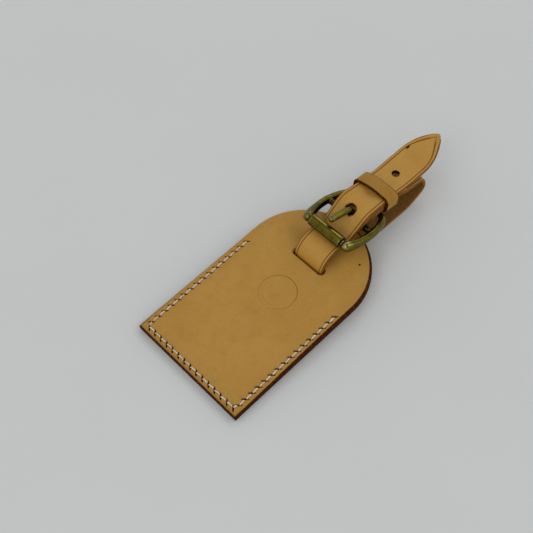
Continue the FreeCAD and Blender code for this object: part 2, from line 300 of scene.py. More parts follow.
def make_object(name, points, faces, masks=None):
    """A smooth-shaded mesh object from points in millimetres, with named vertex masks."""
    mesh = bpy.data.meshes.new(name)
    mesh.from_pydata(to_row(points).tolist(), [], faces)
    mesh.update()
    for mask, values in (masks or {}).items():
        add_mask(mesh, mask, values)
    obj = bpy.data.objects.new(name, mesh)
    bpy.context.scene.collection.objects.link(obj)
    mesh.polygons.foreach_set("use_smooth", [True] * len(mesh.polygons))
    return obj


def add_mask(mesh, name, values):
    """Stores one value for each vertex under a name."""
    layer = mesh.attributes.new(name, "FLOAT", "POINT")
    layer.data.foreach_set("value", np.asarray(values, np.float32))


def vertex_rows(obj, key):
    """The places ("co") or the normals ("normal") of an object's vertices, one row for each."""
    values = np.zeros(3 * len(obj.data.vertices))
    obj.data.vertices.foreach_get(key, values)
    return values.reshape(-1, 3)


def vertex_places(obj):
    """Where an object's vertices are, in millimetres from the tag's bottom edge."""
    return vertex_rows(obj, "co") / MM - ORIGIN


def finish_piece(obj, body, slot, material, *nodes):
    """Gives a piece its material and its body, and hides the CAD nodes that it stands for."""
    obj.data.materials.clear()
    obj.data.materials.append(material)
    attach(obj, body)
    if nodes:
        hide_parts(*nodes)


def apply_modifier(obj, kind, **settings):
    """Adds one modifier and applies it."""
    bpy.context.view_layer.objects.active = obj
    modifier = obj.modifiers.new("step", kind)
    for key, value in settings.items():
        setattr(modifier, key, value)
    bpy.ops.object.modifier_apply(modifier=modifier.name)


def cut_away(obj, cutter):
    """Cuts a closed mesh out of a piece, and removes the cutter."""
    apply_modifier(obj, "BOOLEAN", operation="DIFFERENCE", solver="EXACT", object=cutter)
    bpy.data.objects.remove(cutter)
    obj.data.polygons.foreach_set("use_smooth", [True] * len(obj.data.polygons))


def prism(outline, low, high, axis):
    """A closed prism between two offsets of one outline, along the given direction."""
    ring = np.asarray(outline, float)
    points = np.vstack([ring + axis * low, ring + axis * high])
    faces = ring_faces(2, len(ring))
    return make_object("cutter", points, faces[-2:] + faces[:-2])


def circle_points(centre, radius, first, second):
    """A ring of points about a centre, in the plane of two unit directions."""
    turn = np.linspace(0, 2 * np.pi, 48, endpoint=False)[:, None]
    offset = np.cos(turn) * np.asarray(first) + np.sin(turn) * np.asarray(second)
    return np.asarray(centre) + radius * offset


def rounded_rectangle(half_long, half_wide, corner):
    """The outline of a rectangle with round corners, about its middle."""
    outline = []
    for sx, sy, first in ((1, 1, 0), (-1, 1, 90), (-1, -1, 180), (1, -1, 270)):
        for step in range(9):
            turn = math.radians(first + step * 90 / 8)
            outline.append((sx * (half_long - corner) + corner * math.cos(turn),
                            sy * (half_wide - corner) + corner * math.sin(turn)))
    return np.array(outline)


def unit(rows):
    """Rows scaled to a length of 1."""
    return rows / np.linalg.norm(rows, axis=1)[:, None]


def lengths_along(line):
    """How far along a line each of its points is."""
    return np.concatenate([[0], np.cumsum(np.linalg.norm(np.diff(line, axis=0), axis=1))])


def side_and_up(along):
    """Two directions square to a line's direction and to each other, at each of its points."""
    helper = np.array([0.0, 0.0, 1.0])
    if np.abs(along @ helper).max() > 0.95:
        helper = np.array([0.0, 1.0, 0.0])
    side = unit(np.cross(along, helper))
    return side, np.cross(side, along)


def tube(line, radii, sides, closed=False):
    """Points and faces of a round tube along a line of points."""
    line = np.asarray(line, float)
    radii = np.broadcast_to(np.asarray(radii, float), (len(line),))
    along = np.roll(line, -1, 0) - np.roll(line, 1, 0) if closed else np.gradient(line, axis=0)
    side, up = side_and_up(unit(along))
    turn = np.linspace(0, 2 * np.pi, sides, endpoint=False)
    rings = line[:, None, :] + radii[:, None, None] * (
        np.cos(turn)[None, :, None] * side[:, None, :] + np.sin(turn)[None, :, None] * up[:, None, :])
    return rings.reshape(-1, 3), ring_faces(len(line), sides, closed)


def ring_faces(rings, sides, closed=False):
    """Quads between neighbouring rings of points, with end caps on an open row of rings."""
    faces = []
    for i in range(rings if closed else rings - 1):
        a = i * sides
        b = ((i + 1) % rings) * sides
        for j in range(sides):
            k = (j + 1) % sides
            faces.append([a + j, a + k, b + k, b + j])
    if not closed:
        faces.append(list(range(sides))[::-1])
        last = (rings - 1) * sides
        faces.append(list(range(last, last + sides)))
    return faces


def gather(parts):
    """Joins (points, faces) pairs into one."""
    points = []
    faces = []
    start = 0
    for p, f in parts:
        points.append(p)
        faces.extend([[i + start for i in face] for face in f])
        start += len(p)
    return np.vstack(points), faces


def fuse_metal(obj, voxel, passes):
    """Blends crossing tubes into one casting with soft fillets."""
    apply_modifier(obj, "REMESH", mode="VOXEL", voxel_size=voxel * MM, use_smooth_shade=True)
    apply_modifier(obj, "SMOOTH", factor=0.5, iterations=passes)


# ---- materials ----

def shade(colour, factor):
    """A colour made lighter or darker by a factor."""
    return tuple(factor * c for c in colour)


class Nodes:
    """A small builder for one node material."""

    def __init__(self, name):
        self.material = bpy.data.materials.new(name)
        self.material.use_nodes = True
        self.tree = self.material.node_tree
        self.shader = self.tree.nodes["Principled BSDF"]
        self.coords = self.tree.nodes.new("ShaderNodeTexCoord").outputs["Object"]

    def feed(self, socket, value):
        """Gives a socket a number, a colour or the output of another node."""
        if isinstance(value, (int, float)):
            socket.default_value = value
        elif isinstance(value, tuple):
            socket.default_value = (*value, 1.0)
        else:
            self.tree.links.new(value, socket)

    def add(self, kind, inputs, **settings):
        """A new node with its settings made and its inputs fed. Returns its outputs."""
        node = self.tree.nodes.new("ShaderNode" + kind)
        for key, value in settings.items():
            setattr(node, key, value)
        for key, value in inputs.items():
            self.feed(node.inputs[key], value)
        return node.outputs

    def noise(self, scale, detail=4.0, roughness=0.55, stretch=None):
        """Noise in the row frame; its scale is in features per metre."""
        source = self.coords
        if stretch:
            mapping = self.tree.nodes.new("ShaderNodeMapping")
            mapping.inputs["Scale"].default_value = stretch
            self.feed(mapping.inputs["Vector"], source)
            source = mapping.outputs["Vector"]
        inputs = {"Scale": scale, "Detail": detail, "Roughness": roughness, "Vector": source}
        return self.add("TexNoise", inputs)["Fac"]

    def cells(self, scale):
        return self.add("TexVoronoi", {"Scale": scale, "Vector": self.coords})["Distance"]

    def mask(self, name):
        return self.add("Attribute", {}, attribute_name=name)["Fac"]

    def ramp(self, source, low, high, low_value=0.0, high_value=1.0):
        """Maps a range of a value to another, with smooth ends."""
        inputs = {"Value": source, "From Min": low, "From Max": high,
                  "To Min": low_value, "To Max": high_value}
        return self.add("MapRange", inputs, interpolation_type="SMOOTHSTEP")["Result"]

    def combine(self, operation, first, second):
        return self.add("Math", {0: first, 1: second}, operation=operation)[0]

    def blend(self, factor, first, second):
        """Mixes two colours by a factor. A colour is an output or three numbers."""
        return self.add("Mix", {0: factor, 6: first, 7: second}, data_type="RGBA")[2]

    def bump(self, height, strength, distance, normal=None):
        inputs = {"Height": height, "Strength": strength, "Distance": distance * MM}
        if normal is not None:
            inputs["Normal"] = normal
        return self.add("Bump", inputs)["Normal"]

    def surface(self, **values):
        """Feeds the surface's own inputs."""
        for key, value in values.items():
            self.feed(self.shader.inputs[key.replace("_", " ")], value)


def leather_material(name, tones, edge_colour):
    """Waxed vegetable-tanned leather: mottled colour, pores, burnished edges and a suede inside."""
    light, mid, dark = tones
    n = Nodes(name)
    clouds = n.noise(38, 5)
    blotches = n.noise(170, 5)
    fibres = n.noise(1100, 4, 0.65, (1.0, 1.5, 1.0))
    pores = n.cells(2600)
    grain = n.noise(3600, 3, 0.6)
    colour = n.blend(n.ramp(clouds, 0.32, 0.68), mid, light)
    layers = ((blotches, 0.45, 0.75, 0.42, dark), (n.noise(240, 3), 0.5, 0.75, 0.35, OLIVE_TINT),
              (fibres, 0.40, 0.70, 0.42, dark), (n.noise(2100, 2), 0.5, 0.72, 0.5, shade(light, 1.15)))
    for source, low, high, most, tone in layers:
        colour = n.blend(n.ramp(source, low, high, 0.0, most), colour, tone)
    # Dirt darkens the face towards its outline, and a patch beside the strap's foot is darker too.
    colour = n.blend(n.combine("MULTIPLY", n.mask("dirt_and_shade"), 0.5), colour, shade(dark, 0.45))
    suede = n.blend(n.ramp(n.noise(900, 5, 0.7), 0.3, 0.75), FLESH_COLOUR, shade(FLESH_COLOUR, 1.7))
    flesh = n.mask("flesh")
    colour = n.blend(flesh, colour, suede)
    uneven = n.ramp(n.noise(800, 4), 0.3, 0.7, 0.8, 1.1)
    edge = n.ramp(n.combine("MULTIPLY", n.mask("edge"), uneven), 0.02, 1.0)
    side = n.blend(n.ramp(n.noise(600, 3), 0.3, 0.7), edge_colour, shade(edge_colour, 0.7))
    colour = n.blend(edge, colour, side)
    # Creases take their dark ink; the deepest grooves, the awl slits, the pinhole and the strap's holes, go
    # nearly black as painted shade.
    groove = n.ramp(n.mask("groove"), 0.0, 1.0)
    ink_and_shade = n.blend(n.ramp(n.mask("groove"), 0.6, 1.0), CREASE_INK, HOLE_SHADE)
    colour = n.blend(groove, colour, ink_and_shade)
    rough = n.ramp(blotches, 0.3, 0.7, 0.46, 0.6)
    matt = n.combine("MAXIMUM", n.combine("MAXIMUM", flesh, groove), n.combine("MULTIPLY", edge, 0.65))
    shine = n.ramp(matt, 0.0, 0.6, 0.4, 0.05)
    fine = n.bump(n.combine("ADD", n.combine("MULTIPLY", pores, 0.5), grain), 0.25, 0.05)
    nap = n.bump(n.combine("MULTIPLY", n.noise(2200, 4, 0.8), flesh), 0.6, 0.2, fine)
    n.surface(Base_Color=colour, Roughness=n.combine("MAXIMUM", rough, matt), Specular_IOR_Level=shine,
              Normal=n.bump(fibres, 0.15, 0.12, nap))
    return n.material


def thread_material():
    """Waxed linen thread with fine fibres and random soiling, and painted shade where it dives into its
    holes.
    """
    n = Nodes("waxed_linen")
    dirt_and_shade = n.ramp(n.noise(260, 4), 0.4, 0.75)
    colour = n.blend(dirt_and_shade, LINEN, LINEN_SOILED)
    colour = n.blend(n.ramp(n.noise(5200, 2), 0.5, 0.8, 0, 0.4), colour, LINEN_FIBRE)
    # Painted shade where the thread dives into its holes.
    colour = n.blend(n.ramp(n.mask("dirt_and_shade"), 0.1, 0.9), colour, LINEN_HOLE_SHADE)
    n.surface(Base_Color=colour, Roughness=n.ramp(dirt_and_shade, 0, 1, 0.62, 0.78), Specular_IOR_Level=0.2,
              Normal=n.bump(n.noise(7000, 3, 0.7), 0.5, 0.06))
    return n.material


def brass_material():
    """Antiqued brass: dark olive tarnish with fine specks, brighter where it is rubbed and where a highlight
    is painted, darker where shade is painted.
    """
    n = Nodes("antique_brass")
    tarnish = n.ramp(n.noise(320, 5, 0.6), 0.35, 0.7)
    specks = n.ramp(n.noise(2200, 4, 0.7, (1.0, 0.12, 1.0)), 0.5, 0.75)
    colour = n.blend(tarnish, BRASS, BRASS_TARNISHED)
    # The rubbed mask also carries a painted highlight; the dark mask carries painted shade.
    for amount, share, tone in ((specks, 0.75, BRASS_SPECK), (n.mask("wear_and_highlight"), 0.6, BRASS_RUBBED_HIGHLIGHT),
                                (n.mask("dirt_and_shade"), 0.85, BRASS_SHADE)):
        colour = n.blend(n.combine("MULTIPLY", amount, share), colour, tone)
    n.surface(Base_Color=colour, Roughness=n.ramp(n.noise(900, 4), 0.3, 0.75, 0.14, 0.24),
              Normal=n.bump(n.noise(300, 2), 0.05, 0.04), Metallic=1.0, Coat_Weight=0.22, Coat_Roughness=0.1)
    return n.material


def card_material():
    """Uncoated card stock."""
    n = Nodes("card_stock")
    fibres = n.noise(1800, 5, 0.7)
    colour = n.blend(n.ramp(fibres, 0.35, 0.7), CARD_COLOUR, CARD_FIBRE)
    n.surface(Base_Color=colour, Normal=n.bump(fibres, 0.2, 0.03), Roughness=0.85)
    return n.material


def floor_material():
    """A pale smooth tabletop."""
    n = Nodes("pale_top")
    patches = n.ramp(n.noise(9, 3), 0.3, 0.7)
    colour = n.blend(patches, FLOOR_COLOUR, shade(FLOOR_COLOUR, 0.985))
    n.surface(Base_Color=colour, Roughness=0.75, Specular_IOR_Level=0.2)
    return n.material


# ---- the tag's panels ----

def stations(zones):
    """Distances from the edge: close together over its rounding, then even steps zone by zone."""
    turn = np.linspace(0, np.pi / 2, EDGE_STEPS + 1)
    parts = [np.sort(EDGE_ROUND * (1 - np.sin(turn)))]
    start = EDGE_ROUND
    for end, step in zones:
        count = max(1, int(round((end - start) / (step * GRID_SCALE))))
        parts.append(np.linspace(start, end, count + 1)[1:])
        start = end
    return np.unique(np.concatenate(parts).round(6))


def panel_grid():
    """Points of one face of the tag, its quads, and its outline in order."""
    radii = HALF_WIDE - stations([(1.3, 0.2), (4.9, 0.16), (HALF_WIDE, 0.3)])[::-1]
    radii = radii[radii > 1e-6]
    across = np.concatenate([-radii[::-1], [0.0], radii])
    along = stations([(4.9, 0.16), (68.0, 0.25), (STRAIGHT, 0.4)])
    rows, columns = len(along), len(across)
    grid_x, grid_y = np.meshgrid(along, across, indexing="ij")
    flat = np.column_stack([grid_x.ravel(), grid_y.ravel()])
    corners = [i * columns + j for i in range(rows - 1) for j in range(columns - 1)]
    faces = [[a, a + columns, a + columns + 1, a + 1] for a in corners]
    half = len(radii)
    steps = 2 * int(round(np.pi * HALF_WIDE / (2 * ARCH_STEP * GRID_SCALE)))
    last_row = (rows - 1) * columns
    arch = []
    index = {}
    for j in range(1, steps):
        angle = -np.pi / 2 + np.pi * j / steps
        for k, radius in enumerate(radii):
            index[(j, k)] = len(flat) + len(arch)
            arch.append((STRAIGHT + radius * np.cos(angle), radius * np.sin(angle)))
    for k in range(half):
        index[(0, k)] = last_row + half - 1 - k
        index[(steps, k)] = last_row + half + 1 + k
    centre = last_row + half
    for j in range(steps):
        faces.append([centre, index[(j, 0)], index[(j + 1, 0)]])
        for k in range(half - 1):
            faces.append([index[(j, k)], index[(j, k + 1)], index[(j + 1, k + 1)], index[(j + 1, k)]])
    points = np.vstack([flat, np.array(arch)])
    outline = list(range(columns))[::-1]
    outline += [i * columns for i in range(1, rows)]
    outline += [index[(j, half - 1)] for j in range(1, steps)]
    outline += [i * columns + columns - 1 for i in range(rows - 1, 0, -1)]
    return points, faces, outline


def seam_holes():
    """Every awl hole: its place, and the unit direction of its slit."""
    corner_y = BOTTOM_STITCHES * PITCH / 2
    slant = np.array([1.0, -1.0]) / math.sqrt(2)
    slant_bottom = np.array([1.0, 1.0]) / math.sqrt(2)
    side_x = [SIDE_SEAM_START + PITCH * i for i in range(SIDE_STITCHES + 1)]
    bottom_y = [corner_y - PITCH * i for i in range(BOTTOM_STITCHES + 1)]
    left = [(np.array([x, SIDE_SEAM_Y]), slant) for x in side_x[::-1]]
    bottom = [(np.array([BOTTOM_SEAM_X, y]), slant_bottom) for y in bottom_y]
    return left + bottom + [(np.array([x, -SIDE_SEAM_Y]), slant) for x in side_x]


def outline_distance(points):
    """How far each point is in from the tag's outline."""
    x, y = points[:, 0], points[:, 1]
    side = HALF_WIDE - np.abs(y)
    arch = HALF_WIDE - np.hypot(x - STRAIGHT, y)
    return np.where(x > STRAIGHT, arch, np.minimum(side, x))


def shape_face(points, with_emblem):
    """The height below the panel's face at each point, and its edge, groove and dirt masks; the groove mask
    also paints shade into the awl slits and the pinhole.
    """
    away = np.clip(outline_distance(points), 0, None)
    inside = np.clip(EDGE_ROUND - away, 0, EDGE_ROUND)
    drop = EDGE_ROUND - np.sqrt(np.maximum(EDGE_ROUND ** 2 - inside ** 2, 0))
    x, y = points[:, 0], points[:, 1]
    ink_and_shade = INK_REACH + INK_UNEVEN * np.clip(-y / 20, -0.5, 1) * ease(x, 0, 60)
    edge = np.maximum(np.clip((ink_and_shade - away) / INK_FADE, 0, 1), 0.45 * smooth_bump(away, 2.8) * (x < 6))
    groove = np.zeros(len(points))
    on_side = (x > SIDE_SEAM_START - 2) & (x < SIDE_SEAM_START + PITCH * SIDE_STITCHES + 0.5)
    drop += SEAM_DIP * on_side * smooth_bump(np.abs(y) - SIDE_SEAM_Y, SEAM_DIP_REACH)
    drop += SEAM_DIP * (np.abs(y) < SIDE_SEAM_Y) * smooth_bump(x - BOTTOM_SEAM_X, SEAM_DIP_REACH)
    for hole, slant in seam_holes():
        near = np.maximum(np.abs(x - hole[0]), np.abs(y - hole[1])) < SLIT_LONG / 2
        step = points[near] - hole + SLIT_BACK * slant
        lengthways = step @ slant
        sideways = step @ np.array([-slant[1], slant[0]])
        spread = np.hypot(lengthways / (SLIT_LONG / 2), sideways / (SLIT_WIDE / 2))
        # Each slit is marked in the groove mask, which paints shade into the awl hole.
        slit = np.clip(SLIT_SHARP * (SLIT_RIM - spread), 0, 1)
        drop[near] += SLIT_DEEP * slit
        groove[near] = np.maximum(groove[near], slit)
    dirt_and_shade = 0.25 * smooth_bump(away, SOIL_REACH)
    # Darker in a patch beside the strap's foot.
    dirt_and_shade += 0.5 * smooth_bump(np.hypot(x - DARK_PATCH[0], (y - DARK_PATCH[1]) * 0.8), DARK_PATCH_REACH)
    if with_emblem:
        ring = np.hypot(x - EMBLEM_MID[0], y - EMBLEM_MID[1])
        bearing = np.arctan2(y - EMBLEM_MID[1], x - EMBLEM_MID[0])
        pressed = 0.75 + 0.25 * np.cos(bearing)
        doubled = np.clip(-np.cos(bearing + 0.5), 0, 1)
        outer = pressed * smooth_bump(ring - EMBLEM_RADIUS, EMBLEM_LINE)
        inner = doubled * smooth_bump(ring - EMBLEM_INNER, 0.9 * EMBLEM_LINE)
        drop += EMBLEM_DEEP * (outer + 0.5 * inner)
        groove = np.maximum(groove, 0.55 * outer + 0.32 * inner)
        pin = smooth_bump(np.hypot(x - PINHOLE[0], y - PINHOLE[1]), PINHOLE_REACH)
        drop += PINHOLE_DEEP * pin
        # The pinhole is marked in the groove mask too, as painted shade.
        groove = np.maximum(groove, np.clip(1.6 * pin, 0, 1))
    swell = SWELL * np.sin(x / 17.0 + 0.8) * np.cos(y / 13.0) + RIPPLE * np.sin(x / 7.3 + y / 9.1)
    drop += np.clip(away / 6, 0, 1) * swell
    slot_reach = SLOT_LONG / 2 - SLOT_WIDE / 2
    slot_away = np.hypot(x - SLOT_MID, np.maximum(np.abs(y) - slot_reach, 0)) - SLOT_WIDE / 2
    rim = smooth_bump(np.maximum(slot_away, 0), SLOT_RIM)
    edge = np.maximum(edge, 0.9 * rim)
    drop += SLOT_RIM_DROP * rim
    return drop, edge, groove, np.clip(dirt_and_shade, 0, 1)


def inset_outline(points, distance):
    """The outline's points moved in from the edge."""
    moved = points.copy()
    on_arch = points[:, 0] > STRAIGHT
    spoke = points[on_arch] - [STRAIGHT, 0]
    moved[on_arch] = [STRAIGHT, 0] + spoke * (HALF_WIDE - distance) / HALF_WIDE
    square = ~on_arch
    moved[square, 0] = np.maximum(points[square, 0], distance)
    moved[square, 1] = np.clip(points[square, 1], distance - HALF_WIDE, HALF_WIDE - distance)
    return moved


def make_panel(name, outer_z, inner_z, with_emblem):
    """One leather layer: a detailed outer face, a burnished edge and a plain inner face."""
    flat, faces, outline = panel_grid()
    facing = 1.0 if outer_z > inner_z else -1.0
    drop, edge, groove, dirt_and_shade = shape_face(flat, with_emblem)
    points = [np.column_stack([flat, outer_z - facing * drop])]
    rim = flat[outline]
    parting = PARTING * np.clip((rim[:, 0] - STRAIGHT) / 20.0, 0, 1) * facing
    wall = [(-0.04, outer_z - facing * (EDGE_ROUND + 0.25)), (-0.05, inner_z + facing * 0.55),
            (0.0, inner_z + facing * 0.25), (0.1, inner_z + facing * 0.08), (0.3, inner_z)]
    start = len(flat)
    previous = list(outline)
    count = len(outline)
    for inset, height in wall:
        ring = inset_outline(rim, inset)
        share = 1.0 - abs(height - inner_z) / abs(outer_z - inner_z)
        points.append(np.column_stack([ring, height + parting * share]))
        current = list(range(start, start + count))
        for i in range(count):
            j = (i + 1) % count
            faces.append([previous[i], previous[j], current[j], current[i]])
        previous = current
        start += count
    faces.append(previous)
    if facing < 0:
        faces = [face[::-1] for face in faces]
    extra = np.zeros(start - len(flat))
    masks = {"edge": np.concatenate([edge, extra + 1]), "groove": np.concatenate([groove, extra]),
             "dirt_and_shade": np.concatenate([dirt_and_shade, extra])}
    panel = make_object(name, tilt(np.vstack(points)), faces, masks)
    cut_away(panel, slot_cutter())
    return panel


def slot_cutter():
    """The rounded slot, as a prism square to the tag."""
    reach = SLOT_LONG / 2 - SLOT_WIDE / 2
    turn = np.linspace(0, np.pi, 17)
    radius = SLOT_WIDE / 2
    upper = np.column_stack([SLOT_MID + radius * np.cos(turn), reach + radius * np.sin(turn)])
    lower = -upper + [2 * SLOT_MID, 0]
    outline = np.vstack([upper, lower])
    low = tilt(np.column_stack([outline, np.full(len(outline), -CUT_MARGIN)]))
    up = np.array([-math.sin(TAG_TILT), 0, math.cos(TAG_TILT)])
    return prism(low, 0.0, TAG_THICK + 2 * CUT_MARGIN, up)


def make_panels(leather):
    """The front layer, and the rear layer, whose inner face is at the pocket's floor."""
    front = make_panel("tag_front_leather", TAG_THICK, LAYER + 0.01, True)
    finish_piece(front, "tag_body", "tag_leather", leather, "front_panel")
    rear = make_panel("tag_rear_leather", 0.0, LAYER - POCKET_DEPTH, False)
    finish_piece(rear, "tag_body", "tag_leather", leather, "rear_panel")


# ---- the stitching ----

def ply_strands(line, phase):
    """Two plies twisted round one line of points: their tubes, and how much painted shade each point gets
    near the ends.
    """
    line = np.asarray(line, float)
    lengths = lengths_along(line)
    side, up = side_and_up(unit(np.gradient(line, axis=0)))
    to_end = np.minimum(lengths, lengths[-1] - lengths)
    # Painted shade grows towards the ends, where the thread dives into its holes.
    hole_shade = np.clip(1.25 - to_end / DIVE, 0, 1)
    strands = []
    for ply in (0, math.pi):
        turn = (lengths / THREAD_TWIST * 2 * math.pi + phase + ply)[:, None]
        offset = THREAD_PLY * 0.8 * (np.cos(turn) * side + np.sin(turn) * up)
        strands.append((*tube(line + offset, THREAD_PLY, PLY_SIDES), np.repeat(hole_shade, PLY_SIDES)))
    return strands


def thread_object(name, strands, place):
    """One object from many strands, moved into place by a function."""
    points, faces = gather([strand[:2] for strand in strands])
    hole_shade = np.concatenate([strand[2] for strand in strands])
    return make_object(name, place(points), faces, {"dirt_and_shade": hole_shade})


def stitch_line(start, end, base, rise, facing):
    """One visible stitch: out of one hole, over the leather and down the next."""
    length = np.linalg.norm(end - start)
    share = np.linspace(0, 1, 23)[:, None]
    ground = start + (end - start) * share
    to_end = np.minimum(share, 1 - share) * length
    arch = np.sin(np.clip(to_end / DIVE, 0, 1) * np.pi / 2)
    height = base + facing * (rise * arch - DIVE_DEEP * (1 - arch))
    return np.hstack([ground, height])


def make_seam(thread):
    """The stitches along both sides and the bottom, on both faces of the tag."""
    holes = seam_holes()
    strands = []
    for i in range(len(holes) - 1):
        here, slant = holes[i]
        there, next_slant = holes[i + 1]
        way = 1.0 if (there - here) @ slant >= 0 else -1.0
        start = here + way * slant * THREAD_OFFSET
        end = there - way * next_slant * THREAD_OFFSET
        end = end + (start - end) / np.linalg.norm(start - end) * THREAD_SHORT
        phase = RNG.uniform(0, 2 * math.pi)
        wander = RNG.normal(0, 0.05, 2)
        for base, facing, rise in SEAM_FACES:
            line = stitch_line(start + wander, end + wander, base, rise, facing)
            strands += ply_strands(line, phase)
    obj = thread_object("seam_stitching", strands, tilt)
    finish_piece(obj, "tag_body", "thread", thread, "seam_thread")


# ---- the address card ----

def make_card(card):
    """A card with rounded corners, in the pocket between the panels."""
    outline = rounded_rectangle(CARD_LONG / 2, CARD_WIDE / 2, CARD_CORNER)
    centre = [CARD_START + CARD_LONG / 2, 0.0]
    base = LAYER - POCKET_DEPTH + 0.1
    rings = []
    rims = ((CARD_ROUND, 0.0), (0.0, CARD_ROUND), (0.0, CARD_THICK - CARD_ROUND), (CARD_ROUND, CARD_THICK))
    for inset, z in rims:
        ring = centre + outline * (1 - inset / 30.0)
        rings.append(np.column_stack([ring, np.full(len(ring), base + z)]))
    faces = ring_faces(len(rings), len(outline))
    obj = make_object("pocket_card", tilt(np.vstack(rings)), faces)
    finish_piece(obj, "card", "card", card, "address_card")


# ---- the strap ----

def layer_height(x, steps):
    """Height of a layer's middle line where the keeper holds the layers parallel."""
    return KEEPER_MID[1] + KEEPER_SLOPE * (x - KEEPER_MID[0]) - steps * LAYER_STEP


def strap_route():
    """The strap's middle line from its tip to its end: (x, z, bend radius, thickness)."""
    fold = BAR_RADIUS + 0.12 + CHAPE_THICK / 2
    full, thin = STRAP_THICK, CHAPE_THICK
    return [
        (TIP_X, 23.55, 0, full),
        (150.0, 21.55, 40, full),
        (134.0, layer_height(134.0, 0), 30, full),
        (108.6, layer_height(108.6, 0), 7, full),
        (96.6, 15.7, 5, full),
        (78.6, 17.4, 9.6, full),
        (78.6, 0.9, 4, full),
        (140.5, 0.9, 14, full),
        (152.3, 6.3, 4.6, full),
        (151.6, 14.4, 4, full),
        (138.5, 16.5, 10, full),
        (131.5, layer_height(131.5, 1), 8, full),
        (121.3, layer_height(121.3, 1), 20, full),
        (115.0, 21.2, 10, full),
        (BAR_X + 1.5, BAR_Z + fold, 6, thin),
        (BAR_X - fold, BAR_Z + fold, fold, thin),
        (BAR_X - fold, BAR_Z - fold, fold, thin),
        (BAR_X + 1.9, BAR_Z - fold, 2, thin),
        (114.6, 19.35, 2, 1.6),
        (121.3, layer_height(121.3, 2), 20, full),
        (130.5, layer_height(130.5, 2), 0, full),
    ]


def follow_route(route, step):
    """Points along straight runs joined by tangent arcs, with the thickness at each."""
    corners = np.array([(x, z) for x, z, _, _ in route], float)
    points = [corners[0]]
    thickness = [route[0][3]]
    for i in range(1, len(corners) - 1):
        run = corners[i] - corners[i - 1]
        run /= np.linalg.norm(run)
        following = corners[i + 1] - corners[i]
        following /= np.linalg.norm(following)
        cross = run[0] * following[1] - run[1] * following[0]
        turn = math.atan2(cross, run @ following)
        radius = route[i][2]
        start = corners[i] - run * (radius * math.tan(abs(turn) / 2))
        side = np.array([-run[1], run[0]]) * math.copysign(1, turn)
        centre = start + side * radius
        count = max(3, int(abs(turn) * radius / step) + 2)
        for share in np.linspace(0, 1, count):
            angle = turn * share
            spin = np.array([[math.cos(angle), -math.sin(angle)], [math.sin(angle), math.cos(angle)]])
            points.append(centre + spin @ (start - centre))
            thickness.append(route[i][3])
    points = np.array(points + [corners[-1]])
    thickness = np.array(thickness + [route[-1][3]])
    keep = np.concatenate([[True], np.linalg.norm(np.diff(points, axis=0), axis=1) > 1e-6])
    points, thickness = points[keep], thickness[keep]
    lengths = lengths_along(points)
    even = np.linspace(0, lengths[-1], int(lengths[-1] / step) + 1)
    x = np.interp(even, lengths, points[:, 0])
    z = np.interp(even, lengths, points[:, 1])
    thick = np.interp(even, lengths, thickness)
    return soften(np.column_stack([x, z]), 2), thick, even


def soften(line, passes):
    """Eases the bends of a line of points, leaving its ends where they are."""
    eased = line.copy()
    for _ in range(passes):
        eased[1:-1] = 0.25 * eased[:-2] + 0.5 * eased[1:-1] + 0.25 * eased[2:]
    return eased


def strap_edge(sign):
    """The rows round one edge of the strap, whose ink is darkest along its two rims."""
    rows = []
    for turn in sign * np.linspace(EDGE_TURN, -EDGE_TURN, 7):
        angle = math.radians(turn)
        ink_and_shade = 0.75 * smooth_bump(abs(turn) - EDGE_TURN, 25)
        rows.append((sign, 0.42 * (1 - math.cos(angle)), 0.92 * math.sin(angle), 0.0, 1.0, 0.0, ink_and_shade))
    return rows


def strap_section():
    """The strap's cross-section, round from one end of the grain side.

    Each row is the share of the half width, the inset from the edge, the height from -1 at the
    flesh side to 1 at the grain side, the dip, and the edge, flesh and groove masks.
    """
    border = []
    for inset in (0.55, 0.85, 1.15, 1.3, 1.42, 1.52, 1.6, 1.68, 1.78, 1.9, 2.1, 2.5):
        off_line = inset - CREASE_IN
        dark = 0.7 * smooth_bump(inset - 0.35, 0.5)
        ink_and_shade = CREASE_DARK * smooth_bump(off_line, CREASE_INK_WIDE)
        border.append((inset, CREASE_DEEP * smooth_bump(off_line, CREASE_WIDE), dark, ink_and_shade))
    under = ((0.4, 0.3), (1.0, 0.0), (2.5, 0.0))
    rows = [(-1, inset, 1.0, dip, dark, 0.0, ink_and_shade) for inset, dip, dark, ink_and_shade in border]
    rows += [(share, None, 1.0, 0.0, 0.0, 0.0, 0.0) for share in np.linspace(-0.92, 0.92, 17)]
    rows += [(1, inset, 1.0, dip, dark, 0.0, ink_and_shade) for inset, dip, dark, ink_and_shade in border[::-1]]
    rows += strap_edge(1)
    rows += [(1, inset, -1.0, 0.0, dark, 1.0, 0.0) for inset, dark in under]
    rows += [(share, None, -1.0, 0.0, 0.0, 1.0, 0.0) for share in np.linspace(0.8, -0.8, 9)]
    rows += [(-1, inset, -1.0, 0.0, dark, 1.0, 0.0) for inset, dark in under[::-1]]
    return rows + strap_edge(-1)


def strap_half_width(x, on_tip):
    """Half the strap's width: the tip is a lancet of two arcs, with its point rounded off."""
    half = STRAP_WIDE / 2
    long = TIP_LENGTH + TIP_CUT
    start = TIP_X - TIP_LENGTH
    radius = (long ** 2 + half ** 2) / (2 * half)
    reach = np.clip(x - start, 0, long)
    lancet = np.sqrt(radius ** 2 - reach ** 2) - (radius - half)
    to_end = np.clip(x - (TIP_X - TIP_ROUND), 0, TIP_ROUND)
    rounded = np.sqrt(TIP_ROUND ** 2 - to_end ** 2) + 0.12
    return np.where(on_tip, np.minimum(lancet, np.where(to_end > 0, rounded, half)), half)


